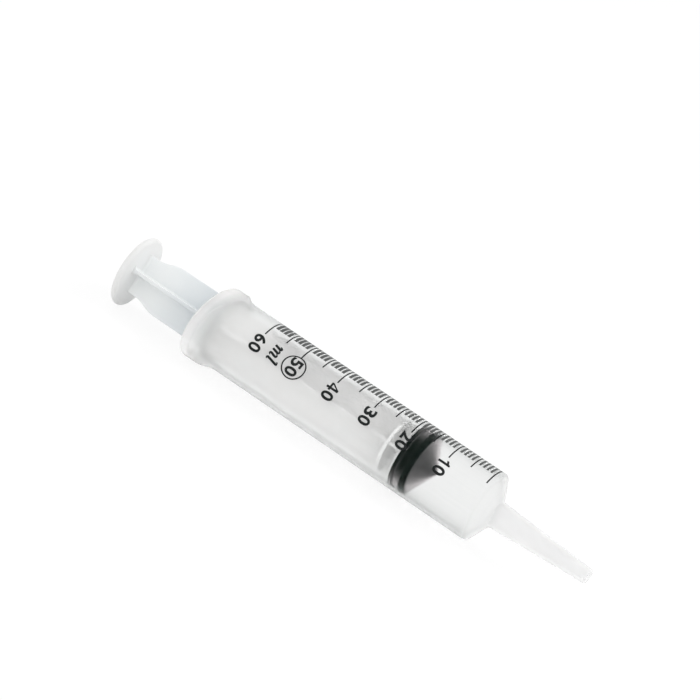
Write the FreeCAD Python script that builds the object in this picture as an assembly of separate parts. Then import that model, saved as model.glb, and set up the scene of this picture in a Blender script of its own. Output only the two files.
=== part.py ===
import FreeCAD, Part
import math
import os

# A 60 ml syringe with a long catheter tip, lying on its side.
# All sizes are in millimetres. X runs along the syringe to the tip, Z is up,
# and the finger wings of the flange point along Y.

# Barrel
BORE_RADIUS = 13.5
BARREL_WALL = 1.25
BARREL_LENGTH = 132.3
SHOULDER_ANGLE = 27.6
SHOULDER_ROUND = 1.4

# Tapered tip
TIP_LENGTH = 42.6
TIP_ROOT_RADIUS = 5.58
TIP_END_RADIUS = 3.05
TIP_ROOT_WALL = 1.45
TIP_ROOT_ROUND = 1.0
TIP_LIP_ROUND = 0.6
OUTLET_RADIUS = 1.9
OUTLET_LENGTH = 4.0

# Finger flange round the open end
WING_REACH = 7.4
WING_RIM = 4.2
FLANGE_RISE = 0.6
FLARE_LENGTH = 8.7
FLANGE_ROUND = 0.9
FOOT_HALF_WIDTH = 2.2

# Retaining bead and lead-in inside the open end
BEAD_HEIGHT = 0.35
BEAD_LENGTH = 1.8
BEAD_FROM_MOUTH = 5.5
MOUTH_CHAMFER = 0.5

# Rubber stopper
STOPPER_CLEARANCE = 0.05
STOPPER_FROM_MOUTH = 96.1
SEAL_WIDTH = 1.7
SEAL_ROUND = 0.4
GROOVE_WIDTH = 2.85
GROOVE_DEPTH = 0.8
CONE_HEIGHT = 7.3
CONE_TIP_ROUND = 0.9

# Snap knob that carries the stopper
NECK_RADIUS = 4.2
NECK_LENGTH = 2.2
KNOB_RADIUS = 6.4
KNOB_LENGTH = 5.0
KNOB_RIM = 1.2
KNOB_NOSE_RADIUS = 3.2
KNOB_CLEARANCE = 0.05

# Plunger rod
ROD_LENGTH = 134.75
RIB_GAP = 2.6
RIB_THICKNESS = 1.4
RIB_CORNER_ROUND = 0.8
GRIP_LENGTH = 3.0
GRIP_TAPER_LENGTH = 11.5
GRIP_TAPER_DROP = 2.3
PLATE_GAP = 2.3
PLATE_THICKNESS = 1.4
PLATE_SPACING = 6.05
ROD_TURN_DEG = 21.0

# Thumb disc
DISC_RADIUS = 15.1
DISC_RIM = 2.8
DISC_DOME = 0.5

# Worked out from the sizes above. Along the syringe, zero is the mouth of the barrel.
barrel_radius = BORE_RADIUS + BARREL_WALL
shoulder_slope = math.tan(math.radians(SHOULDER_ANGLE))
tip_root_x = BARREL_LENGTH + (barrel_radius - TIP_ROOT_RADIUS) * shoulder_slope
tip_end_x = tip_root_x + TIP_LENGTH
flange_half_height = barrel_radius + FLANGE_RISE
flange_half_width = barrel_radius + WING_REACH
rod_front_x = STOPPER_FROM_MOUTH - KNOB_CLEARANCE
disc_rear_x = rod_front_x - ROD_LENGTH
disc_front_x = disc_rear_x + DISC_RIM + DISC_DOME

# The origin is under the middle of the syringe, on the surface it lies on.
foot_share = FOOT_HALF_WIDTH / flange_half_width
axis_height = flange_half_height * math.sqrt(1 - foot_share ** 2)
origin_shift = FreeCAD.Vector(-(tip_end_x + disc_rear_x) / 2, 0, axis_height)

AXIS_START = FreeCAD.Vector(0, 0, 0)
AXIS_DIRECTION = FreeCAD.Vector(1, 0, 0)


def profile_point(x, radius):
    """A point of a turned outline: a place along the axis and a radius."""
    return FreeCAD.Vector(x, radius, 0)


def turned(outline):
    """The solid swept by turning a closed outline round the syringe's axis.

    Each entry is a point, a tuple for an arc or a list for a hollow bend. An
    arc passes through its first point, a bend only leans towards it, and both
    end at their second.
    """
    edges = []
    here = outline[0]
    for entry in outline[1:] + outline[:1]:
        if isinstance(entry, tuple):
            through, end = entry
            edges.append(Part.Arc(here, through, end).toShape())
        elif isinstance(entry, list):
            corner, end = entry
            bend = Part.BezierCurve()
            bend.setPoles([here, corner, end])
            edges.append(bend.toShape())
        else:
            end = entry
            edges.append(Part.makeLine(here, end))
        here = end
    face = Part.Face(Part.Wire(edges))
    return face.revolve(AXIS_START, AXIS_DIRECTION, 360)


def quarter_round(centre_x, centre_radius, radius, start_deg, end_deg):
    """An arc entry for turned(), given by its centre, radius and two angles."""
    points = []
    for degrees in ((start_deg + end_deg) / 2, end_deg):
        angle = math.radians(degrees)
        x = centre_x + radius * math.cos(angle)
        points.append(profile_point(x, centre_radius + radius * math.sin(angle)))
    return tuple(points)


def circles_at(shape, x, radius):
    """The full circles of a turned shape at one place along its axis."""
    found = []
    for edge in shape.Edges:
        if isinstance(edge.Curve, Part.Circle):
            same_place = abs(edge.Curve.Center.x - x) < 1e-4
            same_radius = abs(edge.Curve.Radius - radius) < 1e-4
            if same_place and same_radius:
                found.append(edge)
    return found


def write(shape, node):
    """Moves a finished shape to the resting place and writes its file."""
    placed = shape.copy()
    placed.translate(origin_shift)
    placed.exportStep(os.path.join("parts", node + ".step"))


def barrel_outside():
    """Tube, conical shoulder and tapered tip as one solid turning."""
    body = turned([
        profile_point(0, 0),
        profile_point(0, barrel_radius),
        profile_point(BARREL_LENGTH, barrel_radius),
        profile_point(tip_root_x, TIP_ROOT_RADIUS),
        profile_point(tip_end_x, TIP_END_RADIUS),
        profile_point(tip_end_x, 0),
    ])
    body = body.makeFillet(SHOULDER_ROUND, circles_at(body, BARREL_LENGTH, barrel_radius))
    body = body.makeFillet(TIP_ROOT_ROUND, circles_at(body, tip_root_x, TIP_ROOT_RADIUS))
    return body.makeFillet(TIP_LIP_ROUND, circles_at(body, tip_end_x, TIP_END_RADIUS))


def finger_flange():
    """The barrel's end, flared all round into a finger rest and cut to an oval."""
    flare_start_x = WING_RIM + FLARE_LENGTH
    beyond_wings = flange_half_width + FLANGE_ROUND
    flare = turned([
        profile_point(0, 0),
        profile_point(0, beyond_wings),
        profile_point(WING_RIM, beyond_wings),
        [profile_point(WING_RIM, barrel_radius), profile_point(flare_start_x, barrel_radius)],
        profile_point(flare_start_x, 0),
    ])

    wing_end = FreeCAD.Vector(0, flange_half_width, 0)
    collar_top = FreeCAD.Vector(0, 0, flange_half_height)
    oval = Part.Face(Part.Wire(Part.Ellipse(wing_end, collar_top, AXIS_START).toShape()))
    collar = flare.common(oval.extrude(AXIS_DIRECTION * flare_start_x))

    # The oval outline is rounded behind and in front.
    outline_edges = []
    for edge in collar.Edges:
        box = edge.BoundBox
        if box.YLength > 2 * barrel_radius and box.XMax < flare_start_x - 1e-3:
            outline_edges.append(edge)
    collar = collar.makeFillet(FLANGE_ROUND, outline_edges)

    # Narrow flats above and below, on which the syringe lies without rolling.
    corner = FreeCAD.Vector(0, -flange_half_width, -axis_height)
    return collar.common(
        Part.makeBox(flare_start_x, 2 * flange_half_width, 2 * axis_height, corner))


def barrel_inside():
    """The bore with its lead-in, retaining bead, shoulder and tip passage."""
    angle = math.radians(SHOULDER_ANGLE)
    corner_x = BARREL_LENGTH - BARREL_WALL * (1 - math.sin(angle)) / math.cos(angle)
    passage_radius = TIP_ROOT_RADIUS - TIP_ROOT_WALL
    passage_x = corner_x + (BORE_RADIUS - passage_radius) * shoulder_slope
    outside_mouth = -WING_RIM
    beyond_outlet = tip_end_x + OUTLET_LENGTH
    bead_crest = profile_point(BEAD_FROM_MOUTH, BORE_RADIUS - BEAD_HEIGHT)
    bead_front = profile_point(BEAD_FROM_MOUTH + BEAD_LENGTH / 2, BORE_RADIUS)
    return turned([
        profile_point(outside_mouth, 0),
        profile_point(outside_mouth, BORE_RADIUS + MOUTH_CHAMFER),
        profile_point(0, BORE_RADIUS + MOUTH_CHAMFER),
        profile_point(MOUTH_CHAMFER, BORE_RADIUS),
        profile_point(BEAD_FROM_MOUTH - BEAD_LENGTH / 2, BORE_RADIUS),
        (bead_crest, bead_front),
        profile_point(corner_x, BORE_RADIUS),
        profile_point(passage_x, passage_radius),
        profile_point(tip_end_x - OUTLET_LENGTH, OUTLET_RADIUS),
        profile_point(beyond_outlet, OUTLET_RADIUS),
        profile_point(beyond_outlet, 0),
    ])


def barrel():
    """The one moulding that holds the dose."""
    return barrel_outside().fuse(finger_flange()).cut(barrel_inside()).removeSplitter()


def knob_outline(clearance):
    """Half outline of the neck and knob, grown by a clearance on every side."""
    seat_x = rod_front_x
    shoulder_x = seat_x + NECK_LENGTH - clearance
    rim_x = seat_x + NECK_LENGTH + KNOB_RIM
    nose_x = seat_x + NECK_LENGTH + KNOB_LENGTH + clearance
    return [
        profile_point(shoulder_x, NECK_RADIUS + clearance),
        profile_point(shoulder_x, KNOB_RADIUS + clearance),
        profile_point(rim_x, KNOB_RADIUS + clearance),
        profile_point(nose_x, KNOB_NOSE_RADIUS + clearance),
        profile_point(nose_x, 0),
    ]


def seal(start_x, radius):
    """Outline entries of one raised sealing ring with rounded edges."""
    return [
        profile_point(start_x, radius - SEAL_ROUND),
        quarter_round(start_x + SEAL_ROUND, radius - SEAL_ROUND, SEAL_ROUND, 180, 90),
        profile_point(start_x + SEAL_WIDTH - SEAL_ROUND, radius),
        quarter_round(
            start_x + SEAL_WIDTH - SEAL_ROUND, radius - SEAL_ROUND, SEAL_ROUND, 90, 0),
    ]


def stopper():
    """Rubber stopper: two sealing rings, a conical nose and a snap-on socket."""
    rear_x = STOPPER_FROM_MOUTH
    radius = BORE_RADIUS - STOPPER_CLEARANCE
    groove_radius = radius - GROOVE_DEPTH
    front_seal_x = rear_x + SEAL_WIDTH + GROOVE_WIDTH
    cone_x = front_seal_x + SEAL_WIDTH
    apex_x = cone_x + CONE_HEIGHT

    # The nose is a small ball tangent to the cone.
    half_angle = math.atan2(radius - SEAL_ROUND, CONE_HEIGHT)
    ball_x = apex_x - CONE_TIP_ROUND / math.sin(half_angle)
    blend_deg = 90 - math.degrees(half_angle)
    blend = quarter_round(ball_x, 0, CONE_TIP_ROUND, blend_deg, blend_deg)[1]
    nose = quarter_round(ball_x, 0, CONE_TIP_ROUND, blend_deg, 0)

    outline = [profile_point(rear_x, 0)]
    outline += seal(rear_x, radius)
    outline += [
        profile_point(rear_x + SEAL_WIDTH, groove_radius),
        profile_point(front_seal_x, groove_radius),
    ]
    outline += seal(front_seal_x, radius)
    outline += [blend, nose]
    body = turned(outline)

    mouth_x = rear_x - KNOB_LENGTH
    socket = turned([
        profile_point(mouth_x, 0),
        profile_point(mouth_x, NECK_RADIUS + KNOB_CLEARANCE),
    ] + knob_outline(KNOB_CLEARANCE))
    return body.cut(socket)


def plate(front_x):
    """One round guide plate near the front of the rod."""
    start = FreeCAD.Vector(front_x - PLATE_THICKNESS, 0, 0)
    return Part.makeCylinder(BORE_RADIUS - PLATE_GAP, PLATE_THICKNESS, start, AXIS_DIRECTION)


def thumb_disc():
    """Round disc with a full-round rim, slightly domed towards the barrel."""
    rim_round = DISC_RIM / 2
    flat_radius = DISC_RADIUS - rim_round
    rim_front_x = disc_rear_x + DISC_RIM
    rim_side = profile_point(disc_rear_x + rim_round, DISC_RADIUS)
    dome_radius = (flat_radius ** 2 + DISC_DOME ** 2) / (2 * DISC_DOME)
    halfway_drop = dome_radius - math.sqrt(dome_radius ** 2 - (flat_radius / 2) ** 2)
    halfway = profile_point(disc_front_x - halfway_drop, flat_radius / 2)
    return turned([
        profile_point(disc_rear_x, 0),
        profile_point(disc_rear_x, flat_radius),
        (rim_side, profile_point(rim_front_x, flat_radius)),
        (halfway, profile_point(disc_front_x, 0)),
    ])


def cross_section():
    """Cross-shaped face of the ribs, with rounded inner corners, at the thumb disc."""
    half = RIB_THICKNESS / 2
    reach = BORE_RADIUS
    inner = half + RIB_CORNER_ROUND
    bulge = inner - RIB_CORNER_ROUND * math.sqrt(0.5)
    x = disc_rear_x + DISC_RIM
    edges = []
    for turns in range(4):
        quarter = [
            FreeCAD.Vector(x, reach, -half),
            FreeCAD.Vector(x, reach, half),
            FreeCAD.Vector(x, inner, half),
            FreeCAD.Vector(x, bulge, bulge),
            FreeCAD.Vector(x, half, inner),
            FreeCAD.Vector(x, half, reach),
        ]
        turn = FreeCAD.Rotation(AXIS_DIRECTION, 90 * turns)
        a, b, c, d, e, f = [turn.multVec(point) for point in quarter]
        edges += [Part.makeLine(a, b), Part.makeLine(b, c)]
        edges += [Part.Arc(c, d, e).toShape(), Part.makeLine(e, f)]
    return Part.Face(Part.Wire(edges))


def rib_envelope():
    """Turned outline that the ribs reach: slimmer behind the thumb disc."""
    full = BORE_RADIUS - RIB_GAP
    slim = full - GRIP_TAPER_DROP
    rear_x = disc_rear_x + DISC_RIM
    taper_start_x = disc_front_x + GRIP_LENGTH
    taper_end_x = taper_start_x + GRIP_TAPER_LENGTH
    middle = profile_point((taper_start_x + taper_end_x) / 2, (slim + full) / 2)

    # The taper is an S of two equal arcs that leave each end along the axis.
    arc_radius = (GRIP_TAPER_LENGTH ** 2 + GRIP_TAPER_DROP ** 2) / (4 * GRIP_TAPER_DROP)
    rise = arc_radius - math.sqrt(arc_radius ** 2 - (GRIP_TAPER_LENGTH / 4) ** 2)
    first_arc = profile_point(taper_start_x + GRIP_TAPER_LENGTH / 4, slim + rise)
    second_arc = profile_point(taper_end_x - GRIP_TAPER_LENGTH / 4, full - rise)
    return turned([
        profile_point(rear_x, 0),
        profile_point(rear_x, slim),
        profile_point(taper_start_x, slim),
        (first_arc, middle),
        (second_arc, profile_point(taper_end_x, full)),
        profile_point(rod_front_x - PLATE_THICKNESS, full),
        profile_point(rod_front_x - PLATE_THICKNESS, 0),
    ])


def plunger_rod():
    """The one moulding from the thumb disc to the knob inside the stopper."""
    cross = cross_section().extrude(AXIS_DIRECTION * ROD_LENGTH).common(rib_envelope())

    # The rod lies turned in the stopper, so that no rib points straight up.
    cross.rotate(AXIS_START, AXIS_DIRECTION, -ROD_TURN_DEG)
    knob = turned([
        profile_point(rod_front_x - PLATE_THICKNESS, 0),
        profile_point(rod_front_x - PLATE_THICKNESS, NECK_RADIUS),
    ] + knob_outline(0))
    front_plate = plate(rod_front_x)
    guide_plate = plate(rod_front_x - PLATE_SPACING)
    return cross.multiFuse([thumb_disc(), guide_plate, front_plate, knob]).removeSplitter()


os.makedirs("parts", exist_ok=True)
write(barrel(), "barrel")
write(stopper(), "stopper")
write(plunger_rod(), "plunger_rod")
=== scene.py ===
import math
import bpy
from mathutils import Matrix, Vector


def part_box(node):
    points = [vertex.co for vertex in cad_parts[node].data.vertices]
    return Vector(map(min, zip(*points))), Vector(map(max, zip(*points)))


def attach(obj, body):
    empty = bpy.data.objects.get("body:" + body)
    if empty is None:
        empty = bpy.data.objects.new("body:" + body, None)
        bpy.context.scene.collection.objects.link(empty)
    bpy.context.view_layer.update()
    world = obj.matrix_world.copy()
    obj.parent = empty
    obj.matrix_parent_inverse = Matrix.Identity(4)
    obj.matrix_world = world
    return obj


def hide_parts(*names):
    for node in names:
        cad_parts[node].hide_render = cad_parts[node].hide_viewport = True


bl_info = {
    "name": "Catheter Tip Syringe",
    "version": (1, 0, 0),
    "blender": (4, 5, 0),
    "location": "3D View > Sidebar > Syringe",
    "description": "A 60 ml syringe with a long tapered tip, lying on a pale floor",
    "category": "Object",
}

import bmesh
import bpy
import numpy as np
from bpy.props import FloatProperty, FloatVectorProperty, PointerProperty
from mathutils import Vector

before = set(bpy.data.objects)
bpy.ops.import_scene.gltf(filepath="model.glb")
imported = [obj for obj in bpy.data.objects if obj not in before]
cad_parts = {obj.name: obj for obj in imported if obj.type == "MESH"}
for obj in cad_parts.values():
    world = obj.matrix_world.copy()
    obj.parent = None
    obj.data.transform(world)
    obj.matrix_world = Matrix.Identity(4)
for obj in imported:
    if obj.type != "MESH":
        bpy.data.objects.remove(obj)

MM = 0.001
TURN = 2 * math.pi
COLUMNS = 192  # points round a turned piece
ARC_STEPS = 7  # points along each rounded corner
SHORT_RUN = 0.6 * MM  # a straight run longer than this gets points of its own
NEAR_CORNER = 0.15 * MM  # from a corner to the first of them
SHARP_FROM = math.radians(35)  # an edge that turns by more stays sharp
WRAP_STEP = 0.45 * MM  # between the cuts that let a flat figure bend round the tube
CAPACITY = 60  # millilitres at the scale's last mark
RINGED = 50  # the figure that has a ring round it
FOCAL_LENGTH, FRAME_WIDTH = 3000, 700  # of the camera and its picture, in pixels
SENSOR = 36  # the camera's sensor, in millimetres

BARREL_LOW, BARREL_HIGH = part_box("barrel")
STOPPER_LOW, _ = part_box("stopper")
ROD_LOW, ROD_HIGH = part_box("plunger_rod")
AXIS_HEIGHT = (BARREL_LOW.z + BARREL_HIGH.z) / 2


def number(name, value, description, **facts):
    """A property of one number, or of three."""
    make = FloatVectorProperty if isinstance(value, tuple) else FloatProperty
    return make(name=name, default=value, description=description, **facts)


def length(name, millimetres, description):
    """A length property, from millimetres."""
    return number(name, millimetres * MM, description, unit="LENGTH", precision=5)


def turn(name, degrees, description):
    """An angle property, from degrees."""
    return number(name, math.radians(degrees), description, unit="ROTATION")


def share(name, value, description):
    """A property between nothing and all."""
    return number(name, value, description, min=0, max=1, subtype="FACTOR")


def colour(name, value, description):
    """A colour property, in linear light."""
    return number(name, value, description, min=0, max=1, subtype="COLOR")


class BarrelSizes(bpy.types.PropertyGroup):
    mouth: number("Mouth", BARREL_LOW.x, "Place of the open end", unit="LENGTH", precision=5)
    bore: length("Bore radius", 13.5, "Inner radius of the tube")
    wall: length("Wall", 1.25, "Thickness of the tube's wall")
    tube: length("Tube length", 132.3, "From the mouth to the shoulder")
    shoulder: turn("Shoulder angle", 27.6, "Slope from square to the axis")
    shoulder_round: length("Shoulder rounding", 1.4, "Radius of the shoulder's corner")
    tip: length("Tip length", 42.6, "From the tip's root to its end")
    tip_root: length("Tip root radius", 5.58, "Outer radius at the shoulder")
    tip_end: length("Tip end radius", 3.05, "Outer radius at the open end")
    tip_wall: length("Tip root wall", 1.45, "Wall of the tip at its root")
    root_round: length("Tip root rounding", 1.0, "Hollow radius at the tip's root")
    lip_round: length("Tip lip rounding", 0.6, "Radius of the lip at the tip's end")
    outlet: length("Outlet radius", 1.9, "Inner radius of the tip's open end")
    outlet_length: length("Outlet length", 4.0, "Length of the straight outlet")
    wing_reach: length("Wing reach", 7.4, "How far the finger wings stand out")
    wing_rim: length("Wing rim", 4.2, "Thickness of the wings at their rim")
    rise: length("Flange rise", 0.6, "How far it stands out between the wings")
    flare: length("Flare length", 8.7, "Where the tube swells to the flange")
    flange_round: length("Flange rounding", 0.9, "Radius of the flange's outer edges")
    chamfer: length("Mouth chamfer", 0.5, "Lead-in at the open end")
    bead_place: length("Bead place", 5.5, "From the mouth to the retaining bead")
    bead_length: length("Bead length", 1.8, "Length of the retaining bead")
    bead_height: length("Bead height", 0.35, "Height of the retaining bead")


class StopperSizes(bpy.types.PropertyGroup):
    clearance: length("Clearance", 0.05, "Gap between the seals and the bore")
    seal: length("Seal width", 1.7, "Width of each sealing ring")
    seal_round: length("Seal rounding", 0.3, "Radius of the sealing rings' edges")
    lip_hollow: length("Lip hollow", 0.16, "Depth between a ring's two lips")
    groove: length("Groove width", 2.85, "Width of the groove between the rings")
    groove_depth: length("Groove depth", 0.8, "Depth of that groove")
    cone: length("Cone height", 7.3, "Height of the conical nose")
    nose: length("Nose radius", 0.9, "Radius of the cone's tip")
    socket_gap: length("Socket gap", 0.05, "Gap between socket and knob")


class RodSizes(bpy.types.PropertyGroup):
    rib_reach: length("Rib reach", 10.9, "From the axis to the edge of a rib")
    rib: length("Rib thickness", 1.4, "Thickness of each rib")
    rib_edge: length("Rib edge rounding", 0.3, "Radius along the ribs' edges")
    rib_corner: length("Rib corner", 0.8, "Hollow radius where the ribs meet")
    foot_round: length("Rib foot rounding", 1.3, "Hollow radius at the thumb disc")
    grip: length("Grip length", 3.0, "Slim stretch in front of the thumb disc")
    taper: length("Taper length", 11.5, "Where the ribs widen")
    taper_drop: length("Taper drop", 2.3, "How much slimmer they are at the disc")
    plate_radius: length("Plate radius", 11.2, "Radius of the two guide plates")
    plate: length("Plate thickness", 1.4, "Thickness of each guide plate")
    plate_edge: length("Plate edge rounding", 0.3, "Radius along the plates' edges")
    plate_spacing: length("Plate spacing", 6.05, "From one guide plate to the next")
    roll: turn("Rod turn", 21.0, "How far it has turned in the stopper")
    neck: length("Neck radius", 4.2, "Radius of the neck behind the knob")
    neck_length: length("Neck length", 2.2, "Length of the neck")
    knob: length("Knob radius", 6.4, "Radius of the knob in the stopper")
    knob_length: length("Knob length", 5.0, "Length of the knob")
    knob_rim: length("Knob rim", 1.2, "Straight part of the knob")
    knob_nose: length("Knob nose radius", 3.2, "Radius of the knob's flat nose")
    disc: length("Disc radius", 15.1, "Radius of the thumb disc")
    disc_rim: length("Disc rim", 2.8, "Thickness of the thumb disc at its rim")
    dome: length("Disc dome", 0.5, "Rise of the disc's front face")
    gate: length("Gate mark radius", 1.7, "Moulding mark behind the disc")


class ScaleSizes(bpy.types.PropertyGroup):
    zero: length("Zero mark", 130.4, "From the mouth to the mark for nothing")
    millilitre: length("One millilitre", 1.7466, "Bore that holds one millilitre")
    line: length("Line width", 0.55, "Width of the long marks and the ring")
    short_line: length("Short line width", 0.84, "Width of each one's mark, at the tip")
    short_growth: length("Short line growth", 0.5, "How much wider they are at the mouth")
    ink: length("Ink thickness", 0.03, "How far the print stands proud")
    lift: length("Ink lift", 0.012, "Gap between print and tube")
    digit_height: length("Digit height", 5.2, "Height of the figures")
    digit_width: length("Digit width", 3.5, "Width of one figure")
    digit_pitch: length("Digit pitch", 4.0, "From one figure to the next")
    unit_size: length("Unit size", 5.2, "Height of the unit's tall letter")
    unit_shift: length("Unit shift", 3.2, "From the figures' middle to its start")
    digit_angle: turn("Figures' place", 34.8, "Their middle, up from the near side")
    ring_radius: length("Ring radius", 4.7, "Radius of the ring round one figure")
    long_from: turn("Long marks from", 53.5, "Lower end of each ten's mark")
    middle_from: turn("Middle marks from", 61.5, "Lower end of each five's mark")
    short_from: turn("Short marks from", 75.4, "Lower end of each one's mark")
    marks_to: turn("Marks to", 103.0, "Upper end of all the marks")
    skew: length("Skew", 0.3, "How far the figures drift up")


class Finishes(bpy.types.PropertyGroup):
    rear_tint: colour("Rear tint", (0.985, 0.99, 0.986), "What the wall's rear lets through")
    clear_tint: colour("Clear tint", (0.75, 0.762, 0.755), "What its front lets through")
    tip_tint: colour("Tip tint", (0.79, 0.793, 0.798), "What the tip lets through")
    clear_milk: colour("Clear milk", (0.32, 0.345, 0.335), "The wall's tone, edge on")
    thick_milk: colour("Thick milk", (0.97, 0.957, 0.952), "Tone where the plastic is thick")
    clear_haze: share("Clear haze", 0.3, "Share of light that the wall blurs")
    clear_blur: share("Clear blur", 0.35, "Roughness of what shows through the wall")
    milky_disc: colour("Milky disc", (0.72, 0.72, 0.715), "Colour of the thumb disc")
    milky_root: colour("Milky grip", (0.815, 0.83, 0.83), "Colour of the rod by the disc")
    # painted shade: darker by the mouth, for the flange's shade
    milky_deep: colour("Milky middle", (0.67, 0.705, 0.725), "Colour of the rod by the mouth")
    # painted light: paler in the barrel, for the light that its wall holds back
    milky_front: colour("Milky front", (0.84, 0.838, 0.834), "Colour of the rod in the barrel")
    # painted light: paler at the front end, for the shaded gap between the plates
    milky_plates: colour("Milky plates", (0.9, 0.9, 0.895), "Colour of the rod's front end")
    # painted shade along the ribs' rounded edges
    edge_dim: share("Edge dimming", 0.1, "How much darker the ribs' edges are")
    rubber: colour("Rubber", (0.002, 0.007, 0.005), "Colour of the stopper")
    # painted light: the cone's paler tone stands in for light from the wall's haze
    rubber_dry: colour("Dry rubber", (0.012, 0.016, 0.016), "Colour of the stopper's dry cone")
    # painted sheen: the paleness of the stopper seen at a glancing angle
    bloom: colour("Bloom", (0.7, 0.665, 0.675), "Dull bloom of dry rubber, edge on")
    ink: colour("Ink", (0.006, 0.008, 0.008), "Colour of all but the short marks")
    thin_ink: colour("Thin ink", (0.075, 0.078, 0.077), "Colour of the short marks")
    floor: colour("Floor", (0.95, 0.95, 0.95), "Colour of the floor")


class StageSettings(bpy.types.PropertyGroup):
    camera_place: number(
        "Camera place", (0.326854, -1.017203, 0.428065), "Where the camera stands",
        subtype="TRANSLATION", unit="LENGTH",
    )
    camera_turn: number(
        "Camera turn", (1.182454, -0.443781, 0.497676), "How the camera is turned", subtype="EULER"
    )
    lens: number("Lens", FOCAL_LENGTH / FRAME_WIDTH * SENSOR, "Focal length in millimetres")
    sky: number("Sky", 1.04, "Strength of the light all round")
    lamp: number("Lamp", 2.0, "Power of the lamp above the tip", unit="POWER")
    fill: number("Fill", 0.8, "Power of the wide lamp in front", unit="POWER")
    shadow: share("Shadow", 0.12, "Share of its shading that is seen")


class Syringe(bpy.types.PropertyGroup):
    barrel: PointerProperty(type=BarrelSizes)
    stopper: PointerProperty(type=StopperSizes)
    rod: PointerProperty(type=RodSizes)
    scale: PointerProperty(type=ScaleSizes)
    finish: PointerProperty(type=Finishes)
    stage: PointerProperty(type=StageSettings)


def rounded_path(corners, run_step=4 * MM):
    """Points along straight runs between corners (x, radius, rounding).

    A rounding of nothing keeps the corner sharp. Any other is an arc that meets
    both runs, rounding * tan(half the turn) from the corner. Long runs get points
    near both ends and evenly between.
    """
    points = [np.array(corner[:2], float) for corner in corners]
    stretches = []
    for index, (_, _, rounding) in enumerate(corners):
        corner = points[index]
        if rounding == 0 or index in (0, len(corners) - 1):
            stretches.append(corner[None])
            continue
        before, after = points[index - 1] - corner, points[index + 1] - corner
        before, after = before / np.linalg.norm(before), after / np.linalg.norm(after)
        half = math.acos(np.clip(before @ after, -1, 1)) / 2
        reach = rounding / math.tan(half)
        middle = before + after
        centre = corner + middle / np.linalg.norm(middle) * rounding / math.sin(half)
        start, end = corner + before * reach - centre, corner + after * reach - centre
        sweep = math.atan2(start[0] * end[1] - start[1] * end[0], start @ end)
        angles = math.atan2(start[1], start[0]) + sweep * np.linspace(0, 1, ARC_STEPS)
        stretches.append(centre + rounding * np.stack([np.cos(angles), np.sin(angles)], axis=1))
    result = stretches[:1]
    for stretch in stretches[1:]:
        here, there = result[-1][-1], stretch[0]
        gap = np.linalg.norm(there - here)
        if gap > SHORT_RUN:
            near = NEAR_CORNER / gap
            between = np.linspace(near, 1 - near, max(2, int(gap / run_step) + 2))
            result.append(here + between[:, None] * (there - here))
        result.append(stretch)
    return np.concatenate(result)


def mesh_from_grid(name, grid, rows_close=False):
    """An object over a grid of points whose columns run round the piece and close.

    Rows close too when asked. Otherwise the first and the last are one point each.
    """
    index = np.arange(grid.shape[0] * grid.shape[1]).reshape(grid.shape[:2])
    if rows_close:
        upper, lower = index, np.roll(index, -1, axis=0)
    else:
        index[[0, -1]] = index[[0, -1], :1]
        upper, lower = index[:-1], index[1:]
    right_lower, right_upper = np.roll(lower, -1, axis=1), np.roll(upper, -1, axis=1)
    quads = np.stack([upper, lower, right_lower, right_upper], axis=-1).reshape(-1, 4)
    first, second, third, fourth = np.moveaxis(grid.reshape(-1, 3)[quads], 1, 0)
    volume = np.sum(first * (np.cross(second, third) + np.cross(third, fourth)))
    if volume < 0:
        quads = quads[:, ::-1]
    used, packed = np.unique(quads, return_inverse=True)
    faces = [list(dict.fromkeys(face)) for face in packed.reshape(-1, 4).tolist()]
    return finished_mesh(name, grid.reshape(-1, 3)[used], faces)


def finished_mesh(name, points, faces):
    """An object at the origin, smooth but for the edges that turn sharply."""
    mesh = bpy.data.meshes.new(name)
    mesh.from_pydata(points.tolist(), [], faces)
    if mesh.validate():
        raise RuntimeError(f"{name} has a faulty face")
    mesh.polygons.foreach_set("use_smooth", np.ones(len(mesh.polygons), bool))
    mesh.set_sharp_from_angle(angle=SHARP_FROM)
    mesh.update()
    piece = bpy.data.objects.new(name, mesh)
    bpy.context.scene.collection.objects.link(piece)
    return piece


def joined(patches):
    """Several lots of points and faces as one."""
    points, faces = [], []
    for patch_points, patch_faces in patches:
        first = sum(map(len, points))
        points.append(patch_points)
        faces += [[corner + first for corner in face] for face in patch_faces]
    return np.concatenate(points), faces


def places(mesh):
    """The points of a mesh as an array."""
    flat = np.empty(len(mesh.vertices) * 3)
    mesh.vertices.foreach_get("co", flat)
    return flat.reshape(-1, 3)


def turned_grid(along, radius):
    """Points (x, r cos a, axis + r sin a) for rows of x and r, turned by a."""
    angle = np.arange(COLUMNS) * TURN / COLUMNS
    across, height = radius * np.cos(angle), AXIS_HEIGHT + radius * np.sin(angle)
    return np.stack([np.broadcast_to(along, across.shape), across, height], axis=-1)


def turned_piece(name, path):
    """A piece whose outline, from the axis back to the axis, is turned round it."""
    path = path.copy()
    path[[0, -1], 1] = 0
    return mesh_from_grid(name, turned_grid(path[:, :1], path[:, 1:]))


def on_tube(flat, radius):
    """Wraps flat points (round the tube, along to the tip, out) on the tube: the
    angle is the first over the radius, and the print reads down and round."""
    reach, angle = radius + flat[..., 2], flat[..., 0] / radius
    across, height = -reach * np.cos(angle), AXIS_HEIGHT - reach * np.sin(angle)
    return np.stack([flat[..., 1], across, height], axis=-1)


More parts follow.
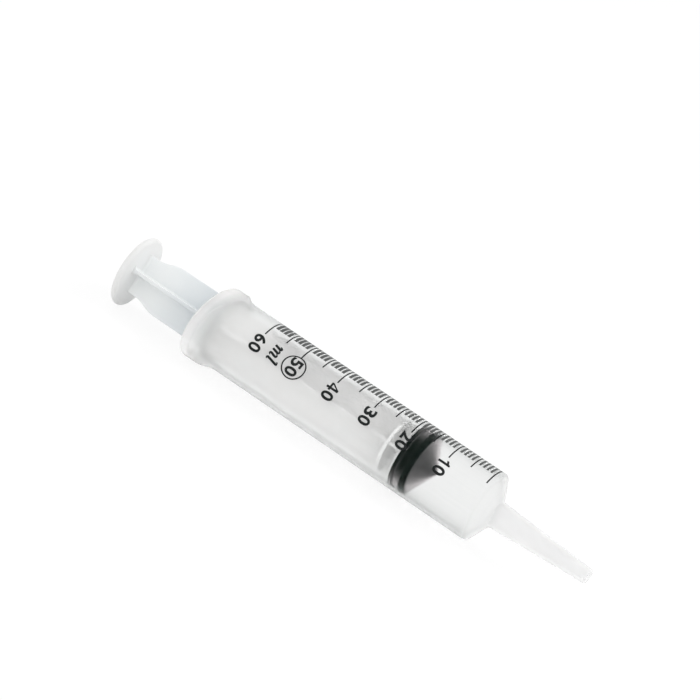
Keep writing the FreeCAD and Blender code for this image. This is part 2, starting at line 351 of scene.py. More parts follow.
def barrel_grid(sizes):
    """The barrel's skin: an outline that closes on itself, turned round the axis.

    It runs round the flange's rear face, rim and flare, along the tube, shoulder
    and tip, and back through the passage and the bore. At the flange it changes
    with the angle: the rim is an ellipse cut flat above and below, met by the
    flare, the bend r = tube + swell * (1 - t)^2, x = rim + flare * t^2.
    """
    angle = np.arange(COLUMNS) * TURN / COLUMNS
    tube = sizes.bore + sizes.wall
    wide, tall = tube + sizes.wing_reach, tube + sizes.rise
    oval = wide * tall / np.hypot(tall * np.cos(angle), wide * np.sin(angle))
    flat = AXIS_HEIGHT / np.maximum(np.abs(np.sin(angle)), 1e-6)
    rim = np.minimum(oval, flat)
    rounding = sizes.flange_round

    swell = wide + rounding - tube
    t_rim = 1 - np.sqrt((rim - tube) / swell)
    x_rim = sizes.wing_rim + sizes.flare * t_rim**2
    steep = np.arctan2(swell * (1 - t_rim), sizes.flare * t_rim)
    reach = rounding * np.tan(steep / 2)
    speed = 2 * np.hypot(sizes.flare * t_rim, swell * (1 - t_rim))
    t_start = t_rim + reach / speed

    mouth_edge = sizes.bore + sizes.chamfer
    rear_run = np.array([0, 0.03, 0.5, 0.97])[:, None]
    rim_run = np.array([0.04, 0.5, 0.96])[:, None]
    step = np.linspace(0, 1, 9)[:, None]
    quarter = step * math.pi / 2
    crowding = 1.2  # above one, the flare's rows crowd towards the rim
    flare_t = t_start + (1 - t_start) * np.linspace(0, 1, 22)[:, None] ** crowding
    flare_x = sizes.wing_rim + sizes.flare * flare_t**2
    flare_r = tube + swell * (1 - flare_t) ** 2
    middle = 2 * step * (1 - step)
    blend_x = (1 - step) ** 2 * (x_rim - reach) + middle * x_rim + step**2 * flare_x[0]
    blend_r = (1 - step**2) * rim + step**2 * flare_r[0]

    slope, sine = math.tan(sizes.shoulder), math.sin(sizes.shoulder)
    root_x = sizes.tube + (tube - sizes.tip_root) * slope
    end_x = root_x + sizes.tip
    corner_x = sizes.tube - sizes.wall * (1 - sine) / math.cos(sizes.shoulder)
    passage = sizes.tip_root - sizes.tip_wall
    passage_x = corner_x + (sizes.bore - passage) * slope
    bead_from = sizes.bead_place - sizes.bead_length / 2
    bead_to = sizes.bead_place + sizes.bead_length / 2
    outlet_edge, outlet_bend, passage_bend, corner_bend = 0.25 * MM, 2 * MM, 1.2 * MM, 0.8 * MM
    straight = rounded_path([
        (sizes.wing_rim + sizes.flare + NEAR_CORNER, tube, 0),
        (sizes.tube, tube, sizes.shoulder_round),
        (root_x, sizes.tip_root, sizes.root_round),
        (end_x, sizes.tip_end, sizes.lip_round),
        (end_x, sizes.outlet, outlet_edge),
        (end_x - sizes.outlet_length, sizes.outlet, outlet_bend),
        (passage_x, passage, passage_bend),
        (corner_x, sizes.bore, corner_bend),
        (bead_to, sizes.bore, 0),
    ])
    bead_x = np.linspace(bead_to, bead_from, 9)[1:]
    hump = np.cos((bead_x - sizes.bead_place) / sizes.bead_length * math.pi) ** 2
    bead = np.stack([bead_x, sizes.bore - sizes.bead_height * hump], axis=1)
    gap, chamfer_bend, short_of_mouth = 0.1 * MM, 0.2 * MM, 0.02 * MM
    lead_in = rounded_path([
        (bead_from - gap, sizes.bore, 0),
        (sizes.chamfer, sizes.bore, chamfer_bend),
        (short_of_mouth, mouth_edge - short_of_mouth, 0),
    ])
    plain = np.concatenate([straight, bead, lead_in])
    runs = [
        (0, mouth_edge + (rim - rounding - mouth_edge) * rear_run),
        (rounding * (1 - np.cos(quarter)), rim - rounding * (1 - np.sin(quarter))),
        (rounding + (x_rim - reach - rounding) * rim_run, rim),
        (blend_x[:-1], blend_r[:-1]),
        (flare_x, flare_r),
        (plain[:, :1], plain[:, 1:]),
    ]
    runs = [np.broadcast_arrays(*run, rim)[:2] for run in runs]
    along, radius = (np.concatenate(parts) for parts in zip(*runs))
    return turned_grid(sizes.mouth + along, radius)


def knob_path(rod, seat, gap):
    """Outline of the rod's neck and knob, grown by a gap, from its nose back."""
    nose_x = seat + rod.neck_length + rod.knob_length + gap
    shoulder_x = seat + rod.neck_length - gap
    front_edge, rear_edge, neck_bend = 0.3 * MM, 0.25 * MM, 0.2 * MM
    return [
        (nose_x, 0, 0),
        (nose_x, rod.knob_nose + gap, front_edge),
        (seat + rod.neck_length + rod.knob_rim, rod.knob + gap, front_edge),
        (shoulder_x, rod.knob + gap, rear_edge),
        (shoulder_x, rod.neck + gap, neck_bend),
    ]


def knob_seat(rod):
    """Place of the front plate's face, from which the neck and knob stand."""
    return ROD_HIGH.x - rod.neck_length - rod.knob_length


def stopper_path(sizes, rod, bore):
    """Outline of the stopper: socket, rear face, two double-lipped rings, cone."""
    outer = bore - sizes.clearance
    inner = outer - sizes.groove_depth
    rear = STOPPER_LOW.x
    front_ring = rear + sizes.seal + sizes.groove
    cone_x = front_ring + sizes.seal
    apex = cone_x + sizes.cone
    edge, groove_edge, mouth_edge, hollow_bend = sizes.seal_round, 0.3 * MM, 0.15 * MM, 1.2 * MM

    def ring(start):
        middle, end = start + sizes.seal / 2, start + sizes.seal
        hollow = outer - sizes.lip_hollow
        return [(start, outer, edge), (middle, hollow, hollow_bend), (end, outer, edge)]

    foot = outer - 0.4 * MM
    past = 3 * MM  # how far the outline runs on past the axis, to round the nose
    return rounded_path(
        knob_path(rod, knob_seat(rod), sizes.socket_gap)
        + [(rear, rod.neck + sizes.socket_gap, mouth_edge)]
        + ring(rear)
        + [(rear + sizes.seal, inner, groove_edge), (front_ring, inner, groove_edge)]
        + ring(front_ring)
        + [(cone_x, foot, 0), (apex, 0, sizes.nose)]
        + [(apex - past, -foot * past / sizes.cone, 0)],
        run_step=1.5 * MM,
    )


def rib_reach(x, sizes, front_of_disc):
    """Reach of the ribs at x: slim behind the disc, an S of two arcs, then full."""
    start = front_of_disc + sizes.grip
    t = np.clip((x - start) / sizes.taper, 0, 1)
    half = np.where(t < 0.5, 2 * t**2, 1 - 2 * (1 - t) ** 2)
    return sizes.rib_reach - sizes.taper_drop * (1 - half)


def rib_section(sizes):
    """One turn of the cross's outline as (out, side, follows the reach) rows.

    Each arm is a hollow corner, a flank, a rounded edge, and the same back.
    Points that follow the reach are measured from the end of the arm.
    """
    half, edge, corner = sizes.rib / 2, sizes.rib_edge, sizes.rib_corner
    sweep = np.linspace(0, math.pi / 2, 5)
    hollow = half + corner
    side = np.linspace(math.pi / 4, 0, 4)
    beside = 0.2 * MM  # from a rounding to the flank's first point
    root = [hollow - corner * np.sin(side), corner * np.cos(side) - hollow, 0 * side]
    flank = [[hollow + beside, -half, 0], [-edge - beside, -half, 1]]
    end = [edge * (np.sin(sweep) - 1), edge * (1 - np.cos(sweep)) - half, 0 * sweep + 1]
    first = np.concatenate([np.transpose(root), flank, np.transpose(end)])
    return np.concatenate([first, first[-1:0:-1] * [1, -1, 1]])


def ribs_grid(sizes):
    """The four ribs as one cross, carried along the rod and drawn in at its ends.

    At the disc the flanks swell by foot_round * (1 - cos) of a quarter turn, and
    there the rows follow the disc's dome, x less dome * (distance / disc)^2.
    """
    front_of_disc = ROD_LOW.x + sizes.disc_rim
    sunk_rear, sunk_front, foot_sunk = 1.2 * MM, 0.7 * MM, 0.004 * MM
    start, end = ROD_LOW.x + sunk_rear, knob_seat(sizes) - sunk_front
    taper_end = front_of_disc + sizes.grip + sizes.taper
    bend = np.linspace(0, math.pi / 2, 14)
    foot = front_of_disc + sizes.dome + sizes.foot_round * (1 - np.cos(bend))
    taper = np.linspace(foot[-1] + 0.4 * MM, taper_end, 36)
    x = np.concatenate([[start], foot, taper, np.linspace(taper_end + 2 * MM, end, 30)])
    arm = rib_section(sizes)
    follows = arm[:, 2]
    reach = rib_reach(x, sizes, front_of_disc + sizes.dome)[:, None]
    short = np.clip((foot[-1] - x) / sizes.foot_round, 0, 1)[:, None]
    swell = sizes.foot_round * (1 - np.sqrt(1 - short**2))
    out = arm[:, 0] + reach * follows + swell * (1 - follows)
    side = arm[:, 1] + swell * np.sign(arm[:, 1])
    turns = np.arange(4)[:, None] * math.pi / 2 - sizes.roll
    cos, sin = np.cos(turns), np.sin(turns)
    across = out[:, None] * cos - side[:, None] * sin
    height = out[:, None] * sin + side[:, None] * cos
    across, height = across.reshape(len(x), -1), height.reshape(len(x), -1)
    fall = sizes.dome * (np.hypot(across, height) / (sizes.disc - sizes.disc_rim / 2)) ** 2
    along = x[:, None] - (fall + foot_sunk) * short
    grid = np.stack([along, across, AXIS_HEIGHT + height], axis=-1)
    rear_end, front_end = (np.full_like(grid[:1], [at, 0, AXIS_HEIGHT]) for at in (start, end))
    return np.concatenate([rear_end, grid, front_end])


def mark_edges(ribs, sizes):
    """Stores on each point of the ribs, from 0 to 1, how near its arm's end it is."""
    x, across, height = places(ribs.data).T
    distance = np.hypot(across, height - AXIS_HEIGHT)
    reach = rib_reach(x, sizes, ROD_LOW.x + sizes.disc_rim + sizes.dome)
    nearness = np.clip((distance - reach) / sizes.rib_edge + 1, 0, 1)
    edge = ribs.data.attributes.new("edge", "FLOAT", "POINT")
    edge.data.foreach_set("value", nearness.astype(np.float32))


def figure_mesh(character):
    """A flat mesh of one figure, in a box one wide and one high."""
    curve = bpy.data.curves.new("figure", "FONT")
    curve.body = character
    curve.resolution_u, curve.offset = 6, 0.03  # fine enough, and a little bolder
    holder = bpy.data.objects.new("figure", curve)
    mesh = bpy.data.meshes.new_from_object(holder)
    bpy.data.objects.remove(holder)
    bpy.data.curves.remove(curve)
    points = places(mesh)
    low, high = points.min(axis=0), points.max(axis=0)
    points[:, :2] = (points[:, :2] - low[:2]) / (high - low)[:2]
    faces = [list(face.vertices) for face in mesh.polygons]
    bpy.data.meshes.remove(mesh)
    return points, faces


# Two figures are drawn as corners in a box one wide and one high and
# the faces between them: a one without a foot, and a four with its opening.
DRAWN_FIGURES = {
    "1": (
        [
            (0.48, 0), (0.76, 0), (0.76, 1), (0.56, 1),
            (0.46, 0.86), (0.18, 0.76), (0.18, 0.58), (0.48, 0.68),
        ],
        [[0, 1, 7], [1, 2, 7], [2, 3, 4, 7], [4, 5, 6, 7]],
    ),
    "4": (
        [
            (0.56, 0), (0.83, 0), (0.83, 0.21), (1, 0.21), (1, 0.38), (0.83, 0.38), (0.83, 1),
            (0.56, 1), (0, 0.38), (0, 0.21), (0.56, 0.21), (0.56, 0.38), (0.2, 0.38), (0.56, 0.77),
        ],
        [
            [0, 1, 2, 10], [9, 10, 11, 12, 8], [8, 12, 13, 7],
            [11, 5, 6, 7, 13], [10, 2, 5, 11], [2, 3, 4, 5],
        ],
    ),
}


def placed_figures(text, sizes, centre_x, centre_u):
    """Flat points and faces of a number: across and up, centred on a place."""
    patches, size = [], [sizes.digit_width, sizes.digit_height, 0]
    across = centre_u - (len(text) - 1) / 2 * sizes.digit_pitch
    for character in text:
        if character in DRAWN_FIGURES:
            corners, faces = DRAWN_FIGURES[character]
            shape = np.array([(*corner, 0) for corner in corners])
        else:
            shape, faces = figure_mesh(character)
        patches.append(((shape - [0.5, 0.5, 0]) * size + [across, centre_x, 0], faces))
        across += sizes.digit_pitch
    return joined(patches)


def cut_across(points, faces):
    """The same flat faces cut by lines a step apart, so that they can be wrapped."""
    cut = bmesh.new()
    corners = [cut.verts.new(point) for point in points]
    for face in faces:
        cut.faces.new([corners[index] for index in face])
    low, high = points[:, 0].min(), points[:, 0].max()
    for place in np.arange(low + WRAP_STEP / 2, high, WRAP_STEP):
        bmesh.ops.bisect_plane(
            cut, geom=cut.verts[:] + cut.edges[:] + cut.faces[:],
            plane_co=(place, 0, 0), plane_no=(1, 0, 0), dist=1e-9,
        )
    cut.verts.index_update()
    new_points = np.array([corner.co[:] for corner in cut.verts])
    new_faces = [[corner.index for corner in face.verts] for face in cut.faces]
    cut.free()
    return new_points, new_faces


def printed(name, patches, tube, sizes):
    """One object of print, wrapped round the tube and given the ink's thickness."""
    points, faces = joined(patches)
    piece = finished_mesh(name, on_tube(points, tube + sizes.lift), faces)
    thickness = piece.modifiers.new("Ink", "SOLIDIFY")
    thickness.thickness = sizes.ink
    thickness.offset = 1
    return piece


def strip(centre, half_width):
    """A flat ribbon along a line of (across, up) points, half_width to each side."""
    heading = np.gradient(centre, axis=0)
    heading /= np.linalg.norm(heading, axis=1)[:, None]
    normal = np.stack([-heading[:, 1], heading[:, 0]], axis=1)
    half = np.broadcast_to(half_width, len(centre))[:, None]
    sides = np.stack([centre + normal * half, centre - normal * half], axis=1)
    start = np.arange(len(centre) - 1) * 2
    faces = np.stack([start, start + 1, start + 3, start + 2], axis=1)
    return np.pad(sides.reshape(-1, 2), ((0, 0), (0, 1))), faces.tolist()


def bend_through(points, count=16):
    """A smooth line through points, p(t) = the sum of four neighbours, each times
    its cubic weight, which is the Catmull-Rom curve."""
    points = np.array(points, float)
    before, after = 2 * points[0] - points[1], 2 * points[-1] - points[-2]
    padded = np.concatenate([[before], points, [after]])
    t = np.linspace(0, 1, count, endpoint=False)[:, None]
    weights = [
        -0.5 * t + t**2 - 0.5 * t**3, 1 - 2.5 * t**2 + 1.5 * t**3,
        0.5 * t + 2 * t**2 - 1.5 * t**3, -0.5 * t**2 + 0.5 * t**3,
    ]
    runs = [
        sum(weight * padded[start + k] for k, weight in enumerate(weights))
        for start in range(len(points) - 1)
    ]
    return np.concatenate(runs + [points[-1:]])


# The pen strokes of the unit, in a box one high: (points, half widths).
UNIT_STROKES = [
    ([(-0.14, 0.46), (-0.04, 0.60), (0.05, 0.62), (0.07, 0.50), (-0.05, 0.02)],
     (0.03, 0.08, 0.095, 0.095, 0.095)),
    ([(0.03, 0.26), (0.16, 0.52), (0.30, 0.64), (0.40, 0.58), (0.39, 0.44), (0.28, 0.02)],
     (0.03, 0.035, 0.07, 0.095, 0.095, 0.095)),
    ([(0.36, 0.26), (0.49, 0.52), (0.63, 0.64), (0.73, 0.58), (0.72, 0.44), (0.63, 0.16),
      (0.65, 0.04), (0.74, 0.04), (0.82, 0.12)],
     (0.03, 0.035, 0.07, 0.095, 0.095, 0.095, 0.08, 0.05, 0.03)),
    ([(1.00, 0.92), (1.09, 0.99), (1.19, 0.98), (1.19, 0.86), (1.04, 0.22), (1.03, 0.06),
      (1.10, 0.02), (1.18, 0.08)],
     (0.03, 0.055, 0.085, 0.095, 0.095, 0.09, 0.06, 0.03)),
]


class Socket:
    """A shader value that takes part in arithmetic, each step a Math node."""

    def __init__(self, shader, link):
        self.shader, self.link = shader, link

    def math(self, operation, *values):
        return self.shader.node("ShaderNodeMath", {"operation": operation}, values)

    def most(self, other):
        return self.math("MAXIMUM", self, other)

    def least(self, other):
        return self.math("MINIMUM", self, other)

    def __add__(self, other):
        return self.math("ADD", self, other)

    def __sub__(self, other):
        return self.math("SUBTRACT", self, other)

    def __rsub__(self, other):
        return self.math("SUBTRACT", other, self)

    def __mul__(self, other):
        return self.math("MULTIPLY", self, other)

    def __pow__(self, other):
        return self.math("POWER", self, other)

    __radd__ = __add__
    __rmul__ = __mul__


class Shader:
    """A material under construction."""

    def __init__(self, name):
        self.material = bpy.data.materials.new(name)
        self.material.use_nodes = True
        self.tree = self.material.node_tree
        self.tree.nodes.clear()

    def node(self, kind, settings=None, values=(), output=0):
        """Adds a node, sets it up, feeds its sockets and returns one output, if any."""
        made = self.tree.nodes.new(kind)
        for key, value in (settings or {}).items():
            setattr(made, key, value)
        pairs = values.items() if isinstance(values, dict) else enumerate(values)
        for key, value in pairs:
            if isinstance(value, Socket):
                self.tree.links.new(value.link, made.inputs[key])
            else:
                made.inputs[key].default_value = value
        return None if output is None else Socket(self, made.outputs[output])

    def place(self):
        """The point on the piece, in metres."""
        return self.node("ShaderNodeTexCoord", output="Object")

    def along_and_height(self):
        """How far along the syringe the point lies, and how high, in metres."""
        along = self.node("ShaderNodeSeparateXYZ", values=[self.place()])
        return along, Socket(self, along.link.node.outputs["Z"])

    def facing(self):
        """Nothing where the surface faces the eye, and one where it is seen edge on."""
        return self.node("ShaderNodeLayerWeight", values={"Blend": 0.5}, output="Facing")

    def noise(self, size, detail, drawn_out=1):
        """Soft noise from about 0.3 to 0.7, its grains a size across, or longer by
        one over drawn_out along the syringe."""
        values = {"Vector": self.place(), "Scale": (drawn_out, 1, 1)}
        place = self.node("ShaderNodeMapping", values=values)
        values = {"Vector": place, "Scale": 1 / size, "Detail": detail}
        return self.node("ShaderNodeTexNoise", values=values)

    def ramp(self, value, low, high):
        """A value from 0 at low to 1 at high, held outside them."""
        values = {"Value": value, "From Min": low, "From Max": high}
        return self.node("ShaderNodeMapRange", values=values)

    def blend(self, amount, first, second, how="MIX"):
        """A colour between two, by an amount, each a socket or three numbers."""
        first, second = (
            each if isinstance(each, Socket) else (*each, 1) for each in (first, second)
        )
        return self.node(
            "ShaderNodeMix", {"data_type": "RGBA", "clamp_factor": True, "blend_type": how},
            {"Factor": amount, 6: first, 7: second}, output=2,
        )

    def bump(self, height, depth):
        """A normal for a height of 0 to 1 that stands for a depth in metres."""
        values = {"Strength": 1.0, "Distance": depth, "Height": height}
        return self.node("ShaderNodeBump", values=values)

    def principled(self, values):
        return self.node("ShaderNodeBsdfPrincipled", values=values)

    def mixed(self, amount, first, second):
        """The finished material of two surfaces, mixed by an amount."""
        return self.finish(self.node("ShaderNodeMixShader", values=(amount, first, second)))

    def finish(self, surface):
        self.node("ShaderNodeOutputMaterial", values={"Surface": surface}, output=None)
        return self.material


def spread(value, low, high):
    """A Socket of about 0.3 to 0.7 stretched to run from low to high."""
    return (value - 0.3) * ((high - low) / 0.4) + low


def clear_plastic(look, sizes):
    """Clear, slightly milky plastic: it blurs and tints what shows through it.

    It is milkier where the wall is seen at a glancing angle and where it is
    thick, at the flange, the shoulder and the tip. Its front half is darker.
    Its thick milk has painted shade above, and the flange painted shade edge on.
    """
    shader = Shader("clear_plastic")
    streaks = shader.noise(0.9 * MM, 2, 0.03)
    cloud = shader.noise(9 * MM, 3, 0.5)
    facing = shader.facing()
    along, height = shader.along_and_height()
    mouth, shoulder_x = sizes.mouth, sizes.mouth + sizes.tube
    tip_x = BARREL_HIGH.x - sizes.tip
    flange = shader.ramp(along, mouth + 10 * MM, mouth + 3 * MM)
    shoulder = shader.ramp(along, shoulder_x - 1.5 * MM, shoulder_x + 1 * MM)
    tip = shader.ramp(along, tip_x - 2 * MM, tip_x + 2 * MM)
    above = shader.ramp(height, AXIS_HEIGHT - 6 * MM, AXIS_HEIGHT + 12 * MM)
    front = shader.ramp(along, mouth + 70 * MM, mouth + 100 * MM)
    shade, edge_share, tip_share = 0.78, 0.9, 0.2  # painted shade: thick milk dimmer above, and at the flange less pale edge on; less pale at the tip
    thick = shader.blend(above, look.thick_milk, [shade * part for part in look.thick_milk])
    # painted shade along the flange's outline, where it is seen edge on
    pale = flange.most(shoulder) - facing**6 * flange * edge_share - tip * tip_share
    tint = shader.blend(front - spread(streaks, 0, 0.15), look.rear_tint, look.clear_tint)
    surface_bump = shader.bump(streaks, 0.02 * MM)
    haze = shader.principled({
        "Base Color": shader.blend(tip, tint, look.tip_tint),
        "Roughness": spread(cloud, look.clear_blur - 0.04, look.clear_blur + 0.04),
        "IOR": 1.08,
        "Alpha": look.clear_haze,
        "Transmission Weight": 1.0,
        "Normal": surface_bump,
    })
    milk = shader.principled({
        "Base Color": shader.blend(pale + spread(cloud, -0.1, 0.1), look.clear_milk, thick),
        "Roughness": 0.22,
        "IOR": 1.5,
        "Subsurface Weight": 0.9,
        "Subsurface Radius": (1.0, 1.0, 1.0),
        "Subsurface Scale": 4 * MM,
        "Normal": surface_bump,
    })
    edge_milk, flange_milk, tip_milk, most_milk = 0.5, 0.42, 0.12, 0.92
    amount = facing**3 * edge_milk + spread(cloud, 0.001, 0.003)
    amount = amount + flange * flange_milk + tip * tip_milk
    return shader.mixed(amount.least(most_milk), haze, milk)


def milky_plastic(look):
    """Milky plastic that light enters. Its tone drifts along the rod: the disc, the
    grip, painted shade by the mouth, and painted light in the barrel and at the front end."""
    shader = Shader("milky_plastic")
    cloud = shader.noise(7 * MM, 3, 0.6)
    flow = shader.noise(1.1 * MM, 2, 0.08)
    along, _ = shader.along_and_height()
    uneven = spread(cloud, -0.12, 0.12)
    rear, mouth, front = ROD_LOW.x, BARREL_LOW.x, ROD_HIGH.x
    tone = look.milky_disc
    for start, end, drift, following in (
        (rear + 2.5 * MM, rear + 4 * MM, 0, look.milky_root),
        # painted shade of the flange, by the mouth
        (rear + 12 * MM, mouth - 3 * MM, uneven, look.milky_deep),
        # painted light in the barrel
        (mouth - 4 * MM, mouth + 4 * MM, uneven, look.milky_front),
        # painted light at the front end
        (front - 18 * MM, front - 13 * MM, 0, look.milky_plates),
    ):
        tone = shader.blend(shader.ramp(along, start, end) + drift, tone, following)
    edge = shader.node("ShaderNodeAttribute", {"attribute_name": "edge"}, output="Fac")
    # painted shade: the ribs' edges are darkened
    dimmed = shader.blend(1.0, tone, [1 - look.edge_dim] * 3, "MULTIPLY")
    return shader.finish(shader.principled({
        "Base Color": shader.blend(edge, tone, dimmed),
        "Roughness": spread(cloud, 0.42, 0.55),
        "IOR": 1.5,
        "Subsurface Weight": 0.8,
        "Subsurface Radius": (1.0, 1.0, 1.0),
        "Subsurface Scale": 0.4 * MM,
        "Normal": shader.bump(spread(flow, 0, 1), 0.012 * MM),
    }))


def black_rubber(look, sizes):
    """Near-black rubber, darkest where it touches the barrel. The cone is painted
    paler, as painted light from the wall's haze. The groove, the hollow between the
    rear ring's lips and the cone get a painted sheen at a glancing angle, and the
    groove and that hollow a painted reflection of the floor on their lower side."""
    shader = Shader("black_rubber")
    film = shader.noise(2.5 * MM, 3)
    grain = shader.noise(0.15 * MM, 2)
    along, height = shader.along_and_height()
    soft, lip, cone_gap = 0.08 * MM, 0.45 * MM, 0.7 * MM

    def after(place):
        """Nothing before a place along the stopper, and one after it."""
        place += STOPPER_LOW.x
        return shader.ramp(along, place - soft, place + soft)

    seal, groove = sizes.seal, sizes.groove
    cone = after(2 * seal + groove + cone_gap)
    lip_sheen, low_reflection, steep = 0.8, 0.22, 1.52  # the lip share is painted sheen, the low share painted reflection; steep: the painted sheen is full before it is quite edge on
    gaps = (after(lip) - after(seal - lip)) * lip_sheen + after(seal) - after(seal + groove)
    # painted reflection of the floor: the groove and the rear ring's hollow are paler on their
    # lower side
    below = shader.ramp(height, AXIS_HEIGHT - 2 * MM, AXIS_HEIGHT - 11 * MM)
    bump = shader.bump(grain, 0.01 * MM)
    # painted light: the cone is painted paler, for light from the wall's haze
    rubber_surface = shader.principled({
        "Base Color": shader.blend(cone * spread(film, 0.8, 1.0), look.rubber, look.rubber_dry),
        "Roughness": spread(film, 0.34, 0.5),
        "Specular IOR Level": 0.06,
        "Normal": bump,
    })
    # painted sheen, mixed in at a glancing angle
    sheen_surface = shader.principled({
        "Base Color": (*look.bloom, 1),
        "Roughness": 0.8,
        "Specular IOR Level": 0.1,
        "Normal": bump,
    })
    glancing = (shader.facing() * steep).least(1.0)
    amount = glancing**3 * (gaps + cone) + gaps * below * low_reflection
    return shader.mixed(amount * spread(film, 0.85, 1.0), rubber_surface, sheen_surface)


def black_ink(name, tone):
    """Dull ink of a tone, a little paler where it is thin."""
    shader = Shader(name)
    patches = shader.noise(0.5 * MM, 3)
    paler = [part + 0.02 for part in tone]
    return shader.finish(shader.principled({
        "Base Color": shader.blend(spread(patches, -0.6, 1), tone, paler),
        "Roughness": spread(patches, 0.45, 0.65),
        "Specular IOR Level": 0.12,
        "Normal": shader.bump(patches, 0.006 * MM),
    }))


def pale_floor(look, shadow):
    """A matt white sheet that lights the syringe like any other, while the camera,
    gloss and clear walls see plain white with only a share of its shading."""
    shader = Shader("pale_floor")
    grain = shader.noise(3 * MM, 4)
    camera, gloss, clear = (
        shader.node("ShaderNodeLightPath", output=f"Is {kind} Ray")
        for kind in ("Camera", "Glossy", "Transmission")
    )
    seen = camera.most(gloss).most(clear)
    mottled = [0.985 * part for part in look.floor]
    sheet = shader.principled({
        "Base Color": shader.blend(spread(grain, 0, 1), look.floor, mottled),
        "Roughness": 0.9,
        "Specular IOR Level": 0.1,
    })
    plain = shader.node("ShaderNodeEmission", values={"Strength": 1.0})
    return shader.mixed(seen * (1 - shadow), sheet, plain)


def dress(piece, material, body, slot=None, node=None):
    """Gives a piece its material and its body, and hides the node it stands for when a slot is
    named.
    """
    piece.data.materials.append(material)
    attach(piece, body)
    if slot:
        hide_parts(node)


def stood(name, data, place, turned):
    """A lamp or camera put into the scene."""
    thing = bpy.data.objects.new(name, data)
    bpy.context.scene.collection.objects.link(thing)
    thing.location, thing.rotation_euler = place, turned
    return thing


class SYRINGE_OT_barrel(bpy.types.Operator):
    """Makes the barrel with its flange, shoulder and long tapered tip"""

    bl_idname = "syringe.barrel"
    bl_label = "Barrel"

    def execute(self, context):
        syringe = context.scene.syringe
        piece = mesh_from_grid("barrel_shell", barrel_grid(syringe.barrel), rows_close=True)
        material = clear_plastic(syringe.finish, syringe.barrel)
        dress(piece, material, "barrel", "clear_barrel", "barrel")
        return {"FINISHED"}


class SYRINGE_OT_stopper(bpy.types.Operator):
    """Makes the rubber stopper with its two sealing rings and conical nose"""

    bl_idname = "syringe.stopper"
    bl_label = "Stopper"

    def execute(self, context):
        syringe = context.scene.syringe
        path = stopper_path(syringe.stopper, syringe.rod, syringe.barrel.bore)
        tip = 1 + np.argmax(path[1:, 1] < 1e-8)
        piece = turned_piece("rubber_stopper", path[: tip + 1])
        material = black_rubber(syringe.finish, syringe.stopper)
        dress(piece, material, "stopper", "black_rubber", "stopper")
        return {"FINISHED"}


class SYRINGE_OT_plunger(bpy.types.Operator):
    """Makes the plunger rod: ribs, thumb disc, guide plates and snap knob"""

    bl_idname = "syringe.plunger"
    bl_label = "Plunger rod"

    def execute(self, context):
        rod = context.scene.syringe.rod
        seat = knob_seat(rod)
        ribs = mesh_from_grid("plunger_ribs", ribs_grid(rod))
        mark_edges(ribs, rod)
        rear, rim = ROD_LOW.x, rod.disc_rim / 2
        face, flat = rear + rod.disc_rim, rod.disc - rim
        out = 1 - np.linspace(0, 1, 9)[1:, None]
        dome = np.concatenate([face + rod.dome * (1 - out**2), flat * out], axis=1)
        gate_floor, gate_share, half_round = rear + 0.25 * MM, 0.8, rim * 0.999
        rear_path = rounded_path([
            (gate_floor, 0, 0),
            (gate_floor, rod.gate * gate_share, 0.1 * MM),
            (rear, rod.gate, 0.15 * MM),
            (rear, rod.disc, half_round),
            (face, rod.disc, half_round),
            (face, flat - 0.05 * MM, 0),
        ])
        disc = turned_piece("thumb_disc", np.concatenate([rear_path, dome]))
        plates = []
        for name, front in (("front_plate", seat), ("guide_plate", seat - rod.plate_spacing)):
            path = rounded_path([
                (front - rod.plate, 0, 0),
                (front - rod.plate, rod.plate_radius, rod.plate_edge),
                (front, rod.plate_radius, rod.plate_edge),
                (front, 0, 0),
            ])
            plates.append(turned_piece(name, path))
        sunk = seat - 0.5 * MM
        knob_line = knob_path(rod, seat, 0) + [(sunk, rod.neck, 0), (sunk, 0, 0)]
        knob = turned_piece("snap_knob", rounded_path(knob_line))
        material = milky_plastic(context.scene.syringe.finish)
        for piece in (ribs, disc, *plates, knob):
            dress(piece, material, "plunger", "milky_rod", "plunger_rod")
        return {"FINISHED"}


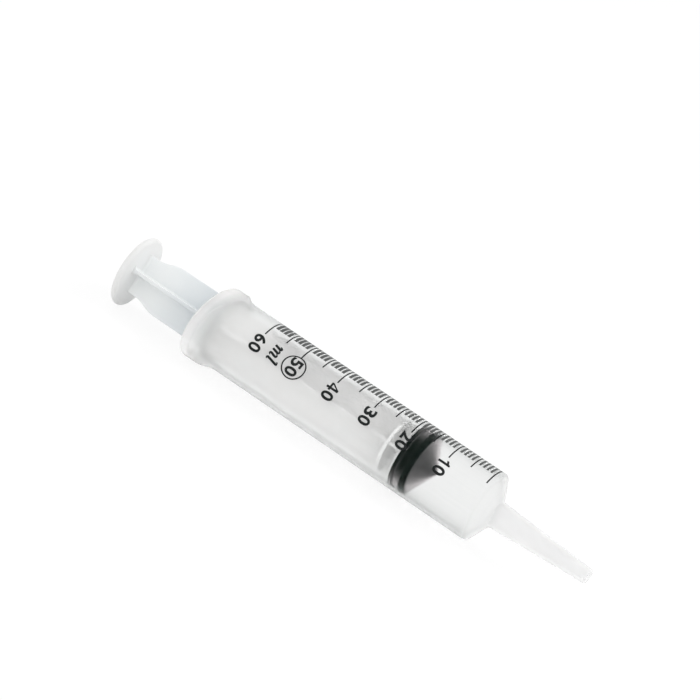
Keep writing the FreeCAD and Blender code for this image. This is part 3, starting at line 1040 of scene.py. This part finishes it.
class SYRINGE_OT_scale(bpy.types.Operator):
    """Prints the scale: marks, figures, the ring round one of them and the unit"""

    bl_idname = "syringe.scale"
    bl_label = "Printed scale"

    def execute(self, context):
        syringe = context.scene.syringe
        sizes, barrel = syringe.scale, syringe.barrel
        tube = barrel.bore + barrel.wall
        zero = barrel.mouth + sizes.zero
        centre_u = -sizes.digit_angle * tube
        marks, short_marks, figures, unit = [], [], [], []
        for volume in range(CAPACITY + 1):
            place = zero - volume * sizes.millilitre
            start, points = sizes.short_from, 40
            if volume == RINGED:
                start, points = sizes.digit_angle + sizes.ring_radius / tube, 50
            elif volume % 10 == 0:
                start = sizes.long_from
            elif volume % 5 == 0:
                start = sizes.middle_from
            across = -np.linspace(start, sizes.marks_to, points) * tube
            line = np.stack([across, place + 0 * across], axis=1)
            if volume % 5 == 0:
                marks.append(strip(line, sizes.line / 2))
            else:
                width = sizes.short_line + sizes.short_growth * volume / CAPACITY
                short_marks.append(strip(line, width / 2))
            if volume and volume % 10 == 0:
                drift = sizes.skew * (CAPACITY - volume) / (CAPACITY - 10)
                flat = placed_figures(str(volume), sizes, place, centre_u - drift)
                figures.append(cut_across(*flat))
        angle = np.linspace(0, TURN, 97)
        ring = np.stack([
            centre_u + sizes.ring_radius * np.cos(angle),
            zero - RINGED * sizes.millilitre + sizes.ring_radius * np.sin(angle),
        ], axis=1)
        unit_middle = zero - (RINGED + CAPACITY) / 2 * sizes.millilitre
        unit_start = [centre_u - sizes.unit_shift, unit_middle - sizes.unit_size / 2]
        for line, widths in UNIT_STROKES:
            points = bend_through(line)
            steps = np.linspace(0, 1, len(points))
            half = np.interp(steps, np.linspace(0, 1, len(widths)), widths)
            unit.append(strip(points * sizes.unit_size + unit_start, half * sizes.unit_size))
        ink = black_ink("scale_ink", syringe.finish.ink)
        thin_ink = black_ink("mark_ink", syringe.finish.thin_ink)
        for name, patches, material in (
            ("scale_marks", marks, ink),
            ("short_marks", short_marks, thin_ink),
            ("scale_figures", figures, ink),
            ("figure_ring", [strip(ring, sizes.line / 2)], ink),
            ("scale_unit", unit, ink),
        ):
            dress(printed(name, patches, tube, sizes), material, "barrel")
        return {"FINISHED"}


class SYRINGE_OT_stage(bpy.types.Operator):
    """Sets the pale floor, the soft light and the camera"""

    bl_idname = "syringe.stage"
    bl_label = "Stage"

    def execute(self, context):
        scene = context.scene
        syringe, stage = scene.syringe, scene.syringe.stage
        reach = 3.0
        corners = reach * np.array([(-1, -1, 0), (1, -1, 0), (1, 1, 0), (-1, 1, 0)])
        floor = finished_mesh("floor", corners, [[0, 1, 2, 3]])
        floor.data.materials.append(pale_floor(syringe.finish, stage.shadow))

        world = bpy.data.worlds.new("soft_surround")
        world.use_nodes = True
        background = world.node_tree.nodes["Background"]
        background.inputs["Color"].default_value = (1, 1, 1, 1)
        background.inputs["Strength"].default_value = stage.sky
        scene.world = world

        for name, place, width, power in (
            ("key_lamp", (0.4, 0.25, 0.8), 0.22, stage.lamp),
            ("fill_lamp", (0.1, -0.95, 0.3), 0.8, stage.fill),
        ):
            lamp = bpy.data.lights.new(name, "AREA")
            lamp.shape, lamp.size, lamp.energy = "DISK", width, power
            outward = Vector(place) - Vector((0, 0, AXIS_HEIGHT))
            stood(name, lamp, place, outward.to_track_quat("Z", "Y").to_euler())

        camera = bpy.data.cameras.new("camera")
        camera.lens = stage.lens
        scene.camera = stood("camera", camera, stage.camera_place, stage.camera_turn)
        scene.view_settings.view_transform = "Standard"
        return {"FINISHED"}


class SYRINGE_PT_panel(bpy.types.Panel):
    """Lists the pieces of the syringe"""

    bl_idname = "SYRINGE_PT_panel"
    bl_label = "Syringe"
    bl_space_type = "VIEW_3D"
    bl_region_type = "UI"
    bl_category = "Syringe"

    def draw(self, context):
        for operator in OPERATORS:
            self.layout.operator(operator.bl_idname)
        for group in ("barrel", "stopper", "rod", "scale", "finish", "stage"):
            sizes = getattr(context.scene.syringe, group)
            box = self.layout.box()
            box.label(text=group.capitalize())
            for key in sizes.__annotations__:
                box.prop(sizes, key)


OPERATORS = (
    SYRINGE_OT_barrel, SYRINGE_OT_stopper, SYRINGE_OT_plunger, SYRINGE_OT_scale, SYRINGE_OT_stage,
)
CLASSES = (
    BarrelSizes, StopperSizes, RodSizes, ScaleSizes, Finishes, StageSettings, Syringe,
    *OPERATORS, SYRINGE_PT_panel,
)


def register():
    for each in CLASSES:
        bpy.utils.register_class(each)
    bpy.types.Scene.syringe = PointerProperty(type=Syringe)


def unregister():
    del bpy.types.Scene.syringe
    for each in reversed(CLASSES):
        bpy.utils.unregister_class(each)


def main():
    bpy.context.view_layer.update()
    register()
    bpy.ops.syringe.barrel()
    bpy.ops.syringe.stopper()
    bpy.ops.syringe.plunger()
    bpy.ops.syringe.scale()
    bpy.ops.syringe.stage()
    bpy.context.view_layer.update()


if __name__ == "__main__":
    main()
